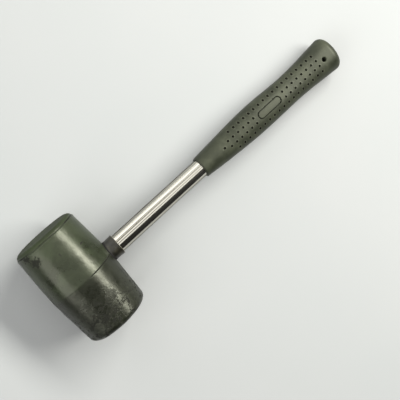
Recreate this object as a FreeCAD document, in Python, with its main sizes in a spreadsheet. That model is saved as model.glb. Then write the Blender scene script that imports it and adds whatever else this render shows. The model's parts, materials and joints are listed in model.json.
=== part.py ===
import FreeCAD, Part
import os
import re
import Sketcher

# Rubber mallet with a tubular steel handle, lying on its side.
#
# Every piece is drawn in the handle's own frame: the origin is where the head's axis crosses the
# handle's axis, +X runs down the handle to the butt, +Y runs along the head to its upper striking
# face, and +Z is square to both. One placement, shared by all pieces, then lays the mallet on the
# floor (z = 0): the lower half of the barrel lies along its taper and the butt touches behind it.

doc = FreeCAD.newDocument("Mallet")

# Driving dimensions in millimetres; angles come from these.
SIZES = {
    "head_length": (95.6, "striking face to striking face"),
    "head_mid_radius": (31.5, "barrel at its parting plane"),
    "head_taper": (2.8, "how much less the radius is at the ends, before the rim is rounded"),
    "head_rim_round": (5.6, "rounding of the striking rims"),
    "tube_radius": (8.0, "handle tube outside, a 16 mm tube"),
    "tube_wall": (1.2, "handle tube wall"),
    "tube_inset": (20.3, "tube's butt end, in from the middle of the hang hole"),
    "flare_length": (3.0, "belled length at the tube's crown end"),
    "flare_rise": (2.0, "growth of the radius over the belled length"),
    "bead_inset": (5.8, "collar's outer end in to the middle of the tube's bead"),
    "bead_width": (4.0, "bead, foot to foot"),
    "bead_rise": (0.9, "bead above the tube"),
    "fit_gap": (0.1, "all round between a piece and the tube or bore it is fitted to"),
    "collar_cover": (0.3, "collar's wall over the bead"),
    "collar_lip": (0.4, "growth of the radius at the collar's outer end"),
    "collar_sink": (5.0, "crown line down to the bottom of the collar's recess"),
    "collar_stand": (8.8, "collar above the crown line"),
    "collar_gap": (0.5, "all round between the collar and its recess"),
    "cap_margin": (1.0, "how far the crown button reaches past the bell"),
    "cap_depth": (3.8, "crown line down to the button's seat"),
    "cap_sink": (0.3, "button below the barrel's surface"),
    "cone_shank": (9.0, "cylindrical part of the expander in the tube"),
    "grip_end": (298.2, "flat end of the butt, from the head's axis"),
    "grip_length": (161.8, "grip, end to end"),
    "front_wall": (1.8, "grip's wall at its round front end"),
    "shoulder_run": (28.6, "front end to the section where the grip has turned oval"),
    "shoulder_wall": (3.95, "wall at its sides there"),
    "shoulder_flat": (1.2, "how much less its half depth is than its half width"),
    "swell_inset": (93.2, "palm swell, in from the butt"),
    "swell_wall": (5.8, "wall at its sides there"),
    "swell_flat": (2.1, "how much less its half depth is"),
    "waist_inset": (60.2, "waist before the butt, in from it"),
    "waist_wall": (5.05, "wall at its sides there"),
    "waist_flat": (2.1, "how much less its half depth is"),
    "heel_inset": (36.2, "start of the butt's spread, in from it"),
    "heel_wall": (5.65, "wall at its sides there"),
    "heel_flat": (2.3, "how much less its half depth is"),
    "spread_inset": (18.2, "where the butt spreads fastest, in from it"),
    "spread_wall": (7.1, "half width there, past the bore's radius"),
    "spread_flat": (2.8, "how much less its half depth is"),
    "butt_wall": (8.5, "half width of the butt at its end, past the bore's radius"),
    "butt_flat": (3.4, "how much less its half depth is"),
    "grip_set": (1.1, "sideways set of the grip's oval sections, to the lower face's side"),
    "butt_round": (6.0, "rounding of the butt's edge"),
    "front_round": (0.9, "rounding of the grip's front edge"),
    "dimple_radius": (1.05, "dimples moulded in the grip"),
    "dimple_depth": (1.3, "their floors below the surface"),
    "dimple_pitch": (6.0, "dimples along the grip"),
    "dimple_row_gap": (5.5, "between rows"),
    "dimple_run": (31.0, "front end to the first dimple of the middle rows"),
    "dimple_stop": (6.5, "least distance from the last dimple to the middle of the hang hole"),
    "panel_inset": (82.9, "middle of the blank label panel, in from the butt"),
    "panel_length": (27.0, "panel, end to end"),
    "panel_width": (7.6, "panel, side to side"),
    "panel_groove": (0.9, "width of the groove round the panel"),
    "panel_depth": (0.5, "groove's floor below the waist's upper surface"),
    "hang_inset": (15.9, "middle of the hang hole, in from the butt"),
    "hang_radius": (2.0, "hang hole"),
    "plug_length": (12.0, "plug in the tube's butt end"),
    "plug_flange": (1.6, "flange of that plug"),
}

# Places and sizes worked out from the driving dimensions.
WORKED = {
    "head_end_radius": "(head_mid_radius - head_taper)",
    "crown_seat": "(cap_depth - head_mid_radius)",
    "flare_start": "(crown_seat + flare_length)",
    "flare_radius": "(tube_radius + flare_rise)",
    "cap_radius": "(flare_radius + cap_margin)",
    "bore_radius": "(tube_radius + fit_gap)",
    "tube_inside": "(tube_radius - tube_wall)",
    "tube_end": "(hang_place - tube_inset)",
    "collar_seat": "(head_mid_radius - collar_sink)",
    "collar_end": "(head_mid_radius + collar_stand)",
    "collar_radius": "(bore_radius + bead_rise + collar_cover)",
    "collar_lip_radius": "(collar_radius + collar_lip)",
    "bead_place": "(collar_end - bead_inset)",
    "bead_start": "(bead_place - bead_width / 2)",
    "bead_stop": "(bead_place + bead_width / 2)",
    "bead_slope": "(bead_width / 4)",
    "plug_stop": "(tube_end + plug_flange)",
    "hang_place": "(grip_end - hang_inset)",
    "grip_front": "(grip_end - grip_length)",
    "shoulder_place": "(grip_front + shoulder_run)",
    "swell_place": "(grip_end - swell_inset)",
    "waist_place": "(grip_end - waist_inset)",
    "heel_place": "(grip_end - heel_inset)",
    "spread_place": "(grip_end - spread_inset)",
    "front_radius": "(bore_radius + front_wall)",
    "shoulder_width": "(bore_radius + shoulder_wall)",
    "swell_width": "(bore_radius + swell_wall)",
    "waist_width": "(bore_radius + waist_wall)",
    "heel_width": "(bore_radius + heel_wall)",
    "spread_width": "(bore_radius + spread_wall)",
    "butt_width": "(bore_radius + butt_wall)",
    "dimple_start": "(grip_front + dimple_run)",
    "panel_place": "(grip_end - panel_inset)",
    "panel_floor": "(waist_width - waist_flat - panel_depth)",
    "taper": "atan((head_mid_radius - head_end_radius) * 2 / head_length)",
    "butt_centre": "(grip_end - butt_round)",
    "butt_drop": "(butt_width - butt_flat - butt_round)",
    "butt_angle": "atan(butt_drop / butt_centre)",
    "floor_reach": "(head_mid_radius - (butt_round + grip_set * sin(taper)) / cos(taper))",
    "lean": "(asin(floor_reach / sqrt(butt_centre ^ 2 + butt_drop ^ 2)) - butt_angle)",
    "pitch": "asin(cos(taper) * sin(lean))",
    "roll": "atan(tan(taper) / cos(lean))",
    "butt_reach": "(butt_centre * cos(pitch) + butt_drop * sin(pitch) + butt_round)",
}

# Sections of the grip behind its front end: name, place and share of the sideways set.
GRIP_SECTIONS = (
    ("shoulder", "shoulder_place", 0.3),
    ("swell", "swell_place", 0.5),
    ("waist", "waist_place", 1.0),
    ("heel", "heel_place", 1.0),
    ("spread", "spread_place", 1.0),
    ("butt", "grip_end", 0.9),
)
DIMPLE_ROWS = (-1.5, -0.5, 0.5, 1.5)   # in row gaps from the grip's middle
CLEAR = 5.0                            # how far a cutting tool runs past the surface it opens


def make_sheet():
    """Put the driving dimensions in a spreadsheet, one aliased cell each."""
    sheet = doc.addObject("Spreadsheet::Sheet", "Sizes")
    for row, (alias, (number, note)) in enumerate(SIZES.items(), start=1):
        sheet.set("A%d" % row, alias)
        sheet.set("B%d" % row, str(number))
        sheet.set("C%d" % row, note)
        sheet.setAlias("B%d" % row, alias)
    doc.recompute()
    return sheet


sheet = make_sheet()


def bound(text):
    """Write a worked-out size or an alias as an expression on the sheet."""
    words = re.compile(r"(?<![.\w])(%s)\b" % "|".join(list(WORKED) + list(SIZES)))
    while words.search(text):
        text = words.sub(lambda m: WORKED.get(m.group(1), "Sizes." + m.group(1)), text)
    return text


def size(text):
    """The number that an expression has now."""
    return float(sheet.evalExpression(bound(text)))


def origin_plane(body, role):
    return next(item for item in body.Origin.OriginFeatures if item.Role == role)


def new_body(label):
    body = doc.addObject("PartDesign::Body", label)
    body.Label = label
    return body


def new_sketch(body, role, name, offset=None):
    """A sketch on one of the body's origin planes, moved along its normal if asked."""
    sketch = body.newObject("Sketcher::SketchObject", name)
    sketch.AttachmentSupport = [(origin_plane(body, role), "")]
    sketch.MapMode = "FlatFace"
    if offset:
        sketch.setExpression("AttachmentOffset.Base.z", bound(offset))
    return sketch


def place_point(sketch, line, across, up):
    """Fix a line's start point by its distances from the sketch's origin."""
    for kind, axis, text in (("DistanceX", -2, across), ("DistanceY", -1, up)):
        if text == "0":
            sketch.addConstraint(Sketcher.Constraint("PointOnObject", line, 1, axis))
            continue
        index = sketch.addConstraint(Sketcher.Constraint(kind, -1, 1, line, 1, size(text)))
        sketch.setExpression("Constraints[%d]" % index, bound(text))


def outline(body, name, corners):
    """A closed outline on the XY plane, each corner bound to the sheet."""
    sketch = new_sketch(body, "XY_Plane", name)
    points = [FreeCAD.Vector(size(across), size(up), 0) for across, up in corners]
    for start, stop in zip(points, points[1:] + points[:1]):
        sketch.addGeometry(Part.LineSegment(start, stop), False)
    last = len(points) - 1
    for line in range(len(points)):
        sketch.addConstraint(Sketcher.Constraint("Coincident", line, 1, line - 1 if line else last, 2))
    for line, (across, up) in enumerate(corners):
        place_point(sketch, line, across, up)
    return sketch


def turn(body, kind, name, sketch, axis):
    """Revolve an outline a full turn about one of its sketch axes."""
    feature = body.newObject("PartDesign::" + kind, name)
    feature.Profile = sketch
    feature.ReferenceAxis = (sketch, [axis])
    feature.Angle = 360
    doc.recompute()
    return feature


def round_edges(body, name, base, edges, radius):
    feature = body.newObject("PartDesign::Fillet", name)
    feature.Base = (base, edges)
    feature.setExpression("Radius", bound(radius))
    doc.recompute()
    return feature


def edges_at(feature, axis, places):
    """Names of the edges that lie wholly in one of the given planes across an axis."""
    found = []
    for number, edge in enumerate(feature.Shape.Edges, start=1):
        low = getattr(edge.BoundBox, axis + "Min")
        high = getattr(edge.BoundBox, axis + "Max")
        if high - low < 0.01 and any(abs(low - place) < 0.01 for place in places):
            found.append("Edge%d" % number)
    return found


def make_head():
    """Barrel of two tapers that meet at the parting plane, bored through for the handle."""
    body = new_body("head")
    barrel = outline(body, "BarrelOutline", [
        ("0", "-head_length / 2"),
        ("head_end_radius", "-head_length / 2"),
        ("head_mid_radius", "0"),
        ("head_end_radius", "head_length / 2"),
        ("0", "head_length / 2"),
    ])
    solid = turn(body, "Revolution", "Barrel", barrel, "V_Axis")
    ends = (size("head_length / 2"), size("-head_length / 2"))
    rims = round_edges(body, "Rims", solid, edges_at(solid, "Y", ends), "head_rim_round")
    bore = outline(body, "BoreOutline", [
        ("-head_mid_radius - %s" % CLEAR, "0"),
        ("-head_mid_radius - %s" % CLEAR, "cap_radius + fit_gap"),
        ("crown_seat", "cap_radius + fit_gap"),
        ("crown_seat", "flare_radius + fit_gap"),
        ("flare_start", "bore_radius"),
        ("collar_seat", "bore_radius"),
        ("collar_seat", "collar_radius + collar_gap"),
        ("head_mid_radius + %s" % CLEAR, "collar_radius + collar_gap"),
        ("head_mid_radius + %s" % CLEAR, "0"),
    ])
    bored = turn(body, "Groove", "HandleBore", bore, "H_Axis")
    if not bored.Shape.Volume < 0.99 * rims.Shape.Volume:
        raise RuntimeError("the handle bore cut nothing from the head")
    return body


def make_collar():
    """Ring between the head and the tube's bead, with a slightly belled outer end."""
    body = new_body("neck_collar")
    ring = outline(body, "RingOutline", [
        ("collar_seat", "bore_radius"),
        ("collar_seat", "collar_radius"),
        ("bead_stop", "collar_radius"),
        ("collar_end", "collar_lip_radius"),
        ("collar_end", "bore_radius"),
        ("bead_stop + fit_gap", "bore_radius"),
        ("bead_stop - bead_slope + fit_gap", "bore_radius + bead_rise"),
        ("bead_start + bead_slope - fit_gap", "bore_radius + bead_rise"),
        ("bead_start - fit_gap", "bore_radius"),
    ])
    turn(body, "Revolution", "Ring", ring, "H_Axis")
    return body


def make_tube():
    """Steel tube: belled at the crown, a rolled bead under the collar, cut square at the butt."""
    body = new_body("handle_tube")
    outside = [
        ("crown_seat", "flare_radius"),
        ("flare_start", "tube_radius"),
        ("bead_start", "tube_radius"),
        ("bead_start + bead_slope", "tube_radius + bead_rise"),
        ("bead_stop - bead_slope", "tube_radius + bead_rise"),
        ("bead_stop", "tube_radius"),
        ("tube_end", "tube_radius"),
    ]
    inside = [(across, up + " - tube_wall") for across, up in reversed(outside)]
    turn(body, "Revolution", "Tube", outline(body, "TubeOutline", outside + inside), "H_Axis")
    return body


def make_cone():
    """Expander driven into the tube's mouth, which keeps the bell from closing."""
    body = new_body("flare_cone")
    cone = outline(body, "ConeOutline", [
        ("crown_seat", "0"),
        ("crown_seat", "flare_radius - tube_wall - fit_gap"),
        ("flare_start", "tube_inside - fit_gap"),
        ("flare_start + cone_shank", "tube_inside - fit_gap"),
        ("flare_start + cone_shank", "0"),
    ])
    turn(body, "Revolution", "Cone", cone, "H_Axis")
    return body


def make_plug():
    """Stopper in the tube's butt end, with a flange over the tube's cut edge."""
    body = new_body("butt_plug")
    plug = outline(body, "PlugOutline", [
        ("tube_end - plug_length", "0"),
        ("tube_end - plug_length", "tube_inside - fit_gap"),
        ("tube_end", "tube_inside - fit_gap"),
        ("tube_end", "tube_radius"),
        ("plug_stop", "tube_radius"),
        ("plug_stop", "0"),
    ])
    turn(body, "Revolution", "Plug", plug, "H_Axis")
    return body


def make_cap():
    """Button in the crown of the head: a disc whose outer face follows the barrel."""
    halves = []
    for name, turned in (("CapTaperUpper", -90), ("CapTaperLower", 90)):
        cone = doc.addObject("Part::Cone", name)
        cone.setExpression("Radius1", bound("head_mid_radius - cap_sink"))
        cone.setExpression("Radius2", bound("head_end_radius - cap_sink"))
        cone.setExpression("Height", bound("head_length / 2"))
        cone.Placement.Rotation = FreeCAD.Rotation(FreeCAD.Vector(1, 0, 0), turned)
        halves.append(cone)
    barrel = doc.addObject("Part::Fuse", "CapBarrel")
    barrel.Base, barrel.Tool = halves
    disc = doc.addObject("Part::Cylinder", "CapDisc")
    disc.setExpression("Radius", bound("cap_radius"))
    disc.setExpression("Height", bound("cap_depth + %s" % CLEAR))
    disc.Placement.Rotation = FreeCAD.Rotation(FreeCAD.Vector(0, 1, 0), -90)
    disc.setExpression("Placement.Base.x", bound("crown_seat"))
    cap = doc.addObject("Part::Common", "crown_cap")
    cap.Base, cap.Tool = barrel, disc
    cap.Label = "crown_cap"
    return cap


def oval(body, name, place, width, depth, middle):
    """A section of the grip across the handle: an ellipse, its long axis along the head's."""
    sketch = new_sketch(body, "YZ_Plane", name, place)
    centre = FreeCAD.Vector(size(middle), 0, 0)
    right = centre + FreeCAD.Vector(size(width), 0, 0)
    top = centre + FreeCAD.Vector(0, size(depth), 0)
    sketch.addGeometry(Part.Ellipse(right, top, centre), False)
    sketch.exposeInternalGeometry(0)
    sketch.addConstraint(Sketcher.Constraint("Horizontal", 1))
    sketch.addConstraint(Sketcher.Constraint("PointOnObject", 0, 3, -1))
    spans = (("DistanceX", (-1, 1, 0, 3), middle),
             ("DistanceX", (1, 2, 1, 1), "2 * (%s)" % width),
             ("DistanceY", (2, 2, 2, 1), "2 * (%s)" % depth))
    for kind, ends, text in spans:
        index = sketch.addConstraint(Sketcher.Constraint(kind, *ends, size(text)))
        sketch.setExpression("Constraints[%d]" % index, bound(text))
    return sketch


def front_circle(body):
    sketch = new_sketch(body, "YZ_Plane", "FrontSection", "grip_front")
    normal = FreeCAD.Vector(0, 0, 1)
    sketch.addGeometry(Part.Circle(FreeCAD.Vector(), normal, size("front_radius")), False)
    sketch.addConstraint(Sketcher.Constraint("Coincident", 0, 3, -1, 1))
    index = sketch.addConstraint(Sketcher.Constraint("Radius", 0, size("front_radius")))
    sketch.setExpression("Constraints[%d]" % index, bound("front_radius"))
    return sketch


def loft_grip(body):
    """Loft the grip's outer form from the butt forward through its sections."""
    front = front_circle(body)
    sections = []
    for name, place, share in GRIP_SECTIONS:
        width = name + "_width"
        depth = "%s_width - %s_flat" % (name, name)
        middle = "-grip_set * %s" % share
        sections.append(oval(body, name.title() + "Section", place, width, depth, middle))
    loft = body.newObject("PartDesign::AdditiveLoft", "GripForm")
    loft.Profile = sections[-1]
    loft.Sections = sections[-2::-1] + [front]
    doc.recompute()
    return loft


def make_sleeve():
    """The grip before its dimples are cut: rounded ends, a blind bore and the hang hole."""
    body = new_body("Sleeve")
    form = loft_grip(body)
    ends = edges_at(form, "X", [size("grip_end")])
    butt = round_edges(body, "ButtEdge", form, ends, "butt_round")
    ends = edges_at(butt, "X", [size("grip_front")])
    whole = round_edges(body, "FrontEdge", butt, ends, "front_round")
    bore = outline(body, "GripBoreOutline", [
        ("grip_front - %s" % CLEAR, "0"),
        ("grip_front - %s" % CLEAR, "bore_radius"),
        ("plug_stop", "bore_radius"),
        ("plug_stop", "0"),
    ])
    bored = turn(body, "Groove", "GripBore", bore, "H_Axis")
    hole = new_sketch(body, "XY_Plane", "HangCircle")
    middle = FreeCAD.Vector(size("hang_place"), size("-grip_set"), 0)
    hole.addGeometry(Part.Circle(middle, FreeCAD.Vector(0, 0, 1), size("hang_radius")), False)
    spans = (("DistanceX", (-1, 1, 0, 3), "hang_place"),
             ("DistanceY", (-1, 1, 0, 3), "-grip_set"),
             ("Radius", (0,), "hang_radius"))
    for kind, ends, text in spans:
        index = hole.addConstraint(Sketcher.Constraint(kind, *ends, size(text)))
        hole.setExpression("Constraints[%d]" % index, bound(text))
    pocket = body.newObject("PartDesign::Pocket", "HangHole")
    pocket.Profile = hole
    pocket.Type = "ThroughAll"
    pocket.Midplane = True
    doc.recompute()
    if not pocket.Shape.Volume < bored.Shape.Volume < whole.Shape.Volume:
        raise RuntimeError("a bore cut nothing from the grip")
    return body


def surface_height(sleeve, along, across):
    """Height of the grip's upper surface over a point of the handle's mid plane."""
    foot = FreeCAD.Vector(along, across, 0)
    above = foot + FreeCAD.Vector(0, 0, size("butt_width + %s" % CLEAR))
    return Part.makeLine(foot, above).common(sleeve.Shape).BoundBox.ZMax


def make_pins(sleeve):
    """Round pins, one for each dimple above and below, their feet at the dimples' floors.

    The two middle rows stop at the label panel and start again past it. The outer rows leave out
    the first place, and one more dimple stands alone on the grip's middle, a pitch before the rest.
    """
    guard = size("panel_length / 2 + dimple_radius")
    last = int(size("(hang_place - dimple_stop - dimple_start) / dimple_pitch"))
    places = [(-1, 0)]
    for count in range(last + 1):
        by_panel = abs(size("dimple_start - panel_place") + count * size("dimple_pitch")) < guard
        rows = [row for row in DIMPLE_ROWS if not (by_panel if abs(row) < 1 else count == 0)]
        places += [(count, row) for row in rows]
    pins = []
    for count, row in places:
        along = size("dimple_start") + count * size("dimple_pitch")
        across = row * size("dimple_row_gap")
        floor = surface_height(sleeve, along, across) - size("dimple_depth")
        for side in (1, -1):
            foot = FreeCAD.Vector(along, across, side * floor)
            up = FreeCAD.Vector(0, 0, side)
            pins.append(Part.makeCylinder(size("dimple_radius"), CLEAR, foot, up))
    feature = doc.addObject("Part::Feature", "DimplePins")
    feature.Shape = Part.makeCompound(pins)
    return feature


def stadium(name, inset, side):
    """A block with round ends over the label panel, smaller all round by the inset."""
    half_width = "(panel_width / 2 - %s)" % inset
    run = "(panel_length - panel_width)"
    foot = "panel_floor" if side > 0 else "(-panel_floor - %s)" % CLEAR
    block = doc.addObject("Part::Box", name + "Middle")
    block.setExpression("Length", bound(run))
    block.setExpression("Width", bound("2 * " + half_width))
    block.Height = CLEAR
    corner = "placement(vector(panel_place - %s / 2; -%s; %s); rotation(0; 0; 0))"
    block.setExpression("Placement", bound(corner % (run, half_width, foot)))
    parts = [block]
    for end, sign in (("Front", "-"), ("Back", "+")):
        post = doc.addObject("Part::Cylinder", name + end)
        post.setExpression("Radius", bound(half_width))
        post.Height = CLEAR
        middle = "placement(vector(panel_place %s %s / 2; 0; %s); rotation(0; 0; 0))"
        post.setExpression("Placement", bound(middle % (sign, run, foot)))
        parts.append(post)
    whole = doc.addObject("Part::MultiFuse", name)
    whole.Shapes = parts
    return whole


def cut(name, base, tool):
    result = doc.addObject("Part::Cut", name)
    result.Base = base
    result.Tool = tool
    return result


def make_grip():
    """The sleeve less its dimples and the grooves round its two label panels."""
    sleeve = make_sleeve()
    grip = cut("Dimpled", sleeve, make_pins(sleeve))
    for name, side in (("Upper", 1), ("Lower", -1)):
        outer = stadium(name + "PanelOuter", "0", side)
        inner = stadium(name + "PanelInner", "panel_groove", side)
        grip = cut(name + "Lined", grip, cut(name + "PanelRing", outer, inner))
    grip.Label = "grip"
    return grip


def lay_down(piece):
    """Give a piece the placement that lays the whole mallet on the floor, centred in plan."""
    along = "(head_mid_radius - butt_reach) / 2"
    height = "head_mid_radius * cos(taper)"
    text = "placement(vector(%s; 0; %s); rotation(0; pitch; roll))" % (along, height)
    piece.setExpression("Placement", bound(text))


def check_document():
    bad = [item.Name for item in doc.Objects if {"Invalid", "Error"} & set(item.State)]
    if bad:
        raise RuntimeError("failed objects: " + ", ".join(bad))


def check_piece(piece):
    if piece.Shape.isNull() or not piece.Shape.isValid() or not piece.Shape.Solids:
        raise RuntimeError(piece.Label + " is not a valid solid")


pieces = [make_head(), make_collar(), make_tube(), make_cone(), make_cap(), make_grip(), make_plug()]
for piece in pieces:
    lay_down(piece)
doc.recompute()
check_document()
os.makedirs("parts", exist_ok=True)
for piece in pieces:
    check_piece(piece)
    piece.Shape.exportStep("parts/%s.step" % piece.Label)
    print("%-12s %8.2f cm3" % (piece.Label, piece.Shape.Volume / 1000))
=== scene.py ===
import json
import math

import bmesh
import bpy
import numpy as np
from mathutils import Matrix, Vector


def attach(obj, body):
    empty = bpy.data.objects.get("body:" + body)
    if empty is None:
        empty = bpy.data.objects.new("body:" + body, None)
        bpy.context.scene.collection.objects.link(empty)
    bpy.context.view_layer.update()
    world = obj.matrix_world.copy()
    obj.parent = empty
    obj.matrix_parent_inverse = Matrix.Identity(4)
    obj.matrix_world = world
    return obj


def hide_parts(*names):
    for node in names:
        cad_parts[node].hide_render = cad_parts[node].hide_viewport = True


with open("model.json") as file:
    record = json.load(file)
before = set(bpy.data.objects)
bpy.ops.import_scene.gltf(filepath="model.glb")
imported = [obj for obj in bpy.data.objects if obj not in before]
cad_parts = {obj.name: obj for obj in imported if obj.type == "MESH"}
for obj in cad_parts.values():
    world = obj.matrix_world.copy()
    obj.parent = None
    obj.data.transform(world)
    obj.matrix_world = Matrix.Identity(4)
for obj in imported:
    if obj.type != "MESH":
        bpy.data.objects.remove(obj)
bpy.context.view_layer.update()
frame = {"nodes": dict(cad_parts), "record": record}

# Pieces are drawn in the handle's own frame in millimetres, x down the handle, y along the head
# to its upper face, z square to both, and then laid where the CAD model lies.
mounts = {mount["name"]: mount for mount in frame["record"]["mounts"]}
headLine = Vector(mounts["upper_face"]["axis"]).normalized()
upLine = Vector(mounts["hang_hole"]["axis"]).normalized()
handleLine = headLine.cross(upLine)
upLine = handleLine.cross(headLine)
middle = (Vector(mounts["upper_face"]["pos_m"]) + Vector(mounts["lower_face"]["pos_m"])) / 2
laid = Matrix((handleLine, headLine, upLine)).transposed().to_4x4()
laid.translation = middle
print("frame loaded, head's axis crosses the handle at", [round(c * 1000, 2) for c in middle])


def finishPiece(name, bm, material, sharp=35):
    # merges doubles, points faces outwards, lays the piece down and hangs it under the root body
    bmesh.ops.remove_doubles(bm, verts=bm.verts, dist=0.004)
    bmesh.ops.recalc_face_normals(bm, faces=bm.faces)
    bmesh.ops.scale(bm, vec=(0.001, 0.001, 0.001), verts=bm.verts)
    bmesh.ops.transform(bm, matrix=laid, verts=bm.verts)
    mesh = bpy.data.meshes.new(name)
    bm.to_mesh(mesh)
    bm.free()
    mesh.shade_smooth()
    mesh.set_sharp_from_angle(angle=math.radians(sharp))
    piece = bpy.data.objects.new(name, mesh)
    bpy.context.scene.collection.objects.link(piece)
    mesh.materials.append(material)
    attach(piece, "root")
    print(name, len(mesh.polygons), "faces")
    return piece


def spinProfile(points, axis, steps, closed=False):
    # a profile of (place along the axis, radius) turned round the axis
    bm = bmesh.new()
    verts = [bm.verts.new((a, r, 0) if axis == "x" else (r, a, 0)) for a, r in points]
    pairs = list(zip(verts, verts[1:])) + ([(verts[-1], verts[0])] if closed else [])
    edges = [bm.edges.new(pair) for pair in pairs]
    line = (1, 0, 0) if axis == "x" else (0, 1, 0)
    bmesh.ops.spin(bm, geom=verts + edges, cent=(0, 0, 0), axis=line, angle=2 * math.pi,
                   steps=steps, use_merge=True)
    bmesh.ops.remove_doubles(bm, verts=bm.verts, dist=0.002)
    return bm


def arc(centre, radius, start, stop, count):
    # points of an arc in a profile, angles in degrees from the outward direction to the axis
    turns = [math.radians(start + (stop - start) * i / count) for i in range(count + 1)]
    return [(centre[0] + radius * math.sin(t), centre[1] + radius * math.cos(t)) for t in turns]


def openRound(bm, spot, axis, side, reach, rings, height):
    # takes out the faces over a round opening, trues the edge to a circle and draws it down the
    # wall; a ring's level is None where it follows the surface
    across = [i for i in range(3) if i != axis]

    def offset(co):
        return Vector((co[across[0]] - spot[0], co[across[1]] - spot[1]))

    def settle(vert, radius, level, drop):
        away = offset(vert.co).normalized() * radius
        vert.co[across[0]] = spot[0] + away.x
        vert.co[across[1]] = spot[1] + away.y
        vert.co[axis] = side * (height(vert.co) - drop) if level is None else level

    over = [f for f in bm.faces if side * f.calc_center_median()[axis] > 0
            and offset(f.calc_center_median()).length < reach]
    bmesh.ops.delete(bm, geom=over, context="FACES")
    edges = [e for e in bm.edges if e.is_boundary and side * e.verts[0].co[axis] > 0
             and abs(offset(e.verts[0].co).length / reach - 1) < 0.35]
    brim = {v for e in edges for v in e.verts}
    for vert in brim:
        settle(vert, reach, None, 0)
    # in order round the opening, so that the same points merge each run
    brim = sorted(brim, key=lambda v: math.atan2(*offset(v.co)))
    bmesh.ops.remove_doubles(bm, verts=brim, dist=reach * 0.02)
    edges = [e for e in bm.edges if e.is_boundary and side * e.verts[0].co[axis] > 0
             and abs(offset(e.verts[0].co).length - reach) < 0.01]
    for radius, level, drop in rings:
        grown = bmesh.ops.extrude_edge_only(bm, edges=edges)["geom"]
        edges = [g for g in grown if isinstance(g, bmesh.types.BMEdge)]
        for vert in [g for g in grown if isinstance(g, bmesh.types.BMVert)]:
            settle(vert, radius, level, drop)


def linear(hexText):
    shares = [int(hexText[i:i + 2], 16) / 255 for i in (1, 3, 5)]
    return [s / 12.92 if s <= 0.04045 else ((s + 0.055) / 1.055) ** 2.4 for s in shares] + [1.0]


def addNode(tree, kind, sockets=None, stops=None, **settings):
    # one node with its settings, its sockets' values or links, and a ramp's stops
    node = tree.nodes.new("ShaderNode" + kind)
    for name, value in settings.items():
        setattr(node, name, value)
    for name, value in (sockets or {}).items():
        if isinstance(value, bpy.types.NodeSocket):
            tree.links.new(value, node.inputs[name])
        else:
            node.inputs[name].default_value = value
    if stops:
        ramp = node.color_ramp.elements
        while len(ramp) < len(stops):
            ramp.new(1.0)
        for element, (place, colour) in zip(ramp, stops):
            grey = not isinstance(colour, str)
            element.position = place
            element.color = (colour, colour, colour, 1) if grey else linear(colour)
    return node


def newMaterial(name):
    # a material's tree, its shader and its coordinates: the handle's frame, in millimetres
    material = bpy.data.materials.new(name)
    material.use_nodes = True
    tree = material.node_tree
    shader = tree.nodes["Principled BSDF"]
    place = addNode(tree, "TexCoord")
    ours = addNode(tree, "Mapping", {"Vector": place.outputs["Object"], "Location": middle,
                                     "Rotation": laid.to_euler(), "Scale": (0.001, 0.001, 0.001)},
                   vector_type="TEXTURE")
    return material, tree, shader, ours.outputs["Vector"]


# Camera: above the mallet, a little to its side.
view = {
    "place": (-88.717, 63.006, 601.180),  # mm
    "aim": (-15.560, -20.808, 20.0),
    "lens": 61.48,
    "turn": 97.0806,  # degrees about its own line of sight
}
lens = bpy.data.cameras.new("studioCamera")
lens.lens = view["lens"]
lens.sensor_width = 36
lens.clip_start = 0.01
camera = bpy.data.objects.new("studioCamera", lens)
bpy.context.scene.collection.objects.link(camera)
sight = (Vector(view["aim"]) - Vector(view["place"])).to_track_quat("-Z", "Y").to_matrix()
sight = sight @ Matrix.Rotation(math.radians(view["turn"]), 3, "Z")
camera.matrix_world = Matrix.Translation(Vector(view["place"]) / 1000) @ sight.to_4x4()
bpy.context.scene.camera = camera
bpy.context.scene.view_settings.view_transform = "Standard"


# Moulded rubber of the head, olive above and darker below, which gives the eye a soft broad sheen,
# cloudy colour, scuffs and scratches towards the lower face, and painted shade in its moulded lines
# and round the collar's foot. Sizes in mm.
headRubber = {
    "upperHalf": "#24291d",
    "lowerHalf": "#161811",
    "border": 5.0,  # how far the line between the two wanders
    "rimBand": "#1e2614",
    "rimBandStart": (44.3, 44.9),
    "moss": "#2d3425",
    "mossSize": 17.0,
    "scuff": "#030302",
    "scuffRun": (-8.0, -30.0),  # along the head, from none to all
    "scuffSize": 5.0,
    "scuffHeart": ((-5.0, -27.0, 26.0), (20.0, 14.0, 16.0)),  # the worst of it: place and reach
    "scratches": ((0.15, 17.0, 6.0), (1.1, 13.0, 7.5), (-0.6, 9.0, 9.0)),  # turn, length, spacing
    "scratchDepth": 14.0,
    "scratchBend": (4.0, 2.4),  # how often and how far they bend
    "chalk": "#4c4d42",
    "chalkSize": 3.4,
    "collarFootShade": (11.6, 10.6),  # painted shade round the collar's foot, its reach about the handle's line
    "fleck": 2.6,
    "stains": (  # place, reach and strength
        ((-17.6, 36.0, 23.3), (4.4, 4.6, 7.0), 0.85),
        ((-21.5, 42.3, 19.0), (3.6, 3.2, 7.0), 0.85),
        ((18.7, 24.3, 23.5), (1.9, 0.8, 2.4), 1.0),
        ((0.0, 29.0, 29.8), (1.2, 1.6, 3.0), 0.6),
    ),
    "roughness": (0.25, 0.37),
    "dullRim": 0.78,
    "dullDarkened": 0.8,
    "rimLineShade": (0.7, 0.4),  # painted shade, to each side of the moulded line, none and all
    # painted shade in the parting line, to each side of it, none and all
    "seamShade": (0.6, 0.3),
    "seamRun": (1.0, 7.0),
    "strikingFace": (46.6, 47.6),
    "mottle": 26.0,  # cloudy patches
    "grain": 0.9,  # drawn coarser than the mould's own texture so that it shows
    "grainDepth": 0.035,
    "wave": 6.0,  # slight unevenness from the mould
    "waveDepth": 0.22,
    "ior": 1.42,
    "sheen": "#fcffee",
}


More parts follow.
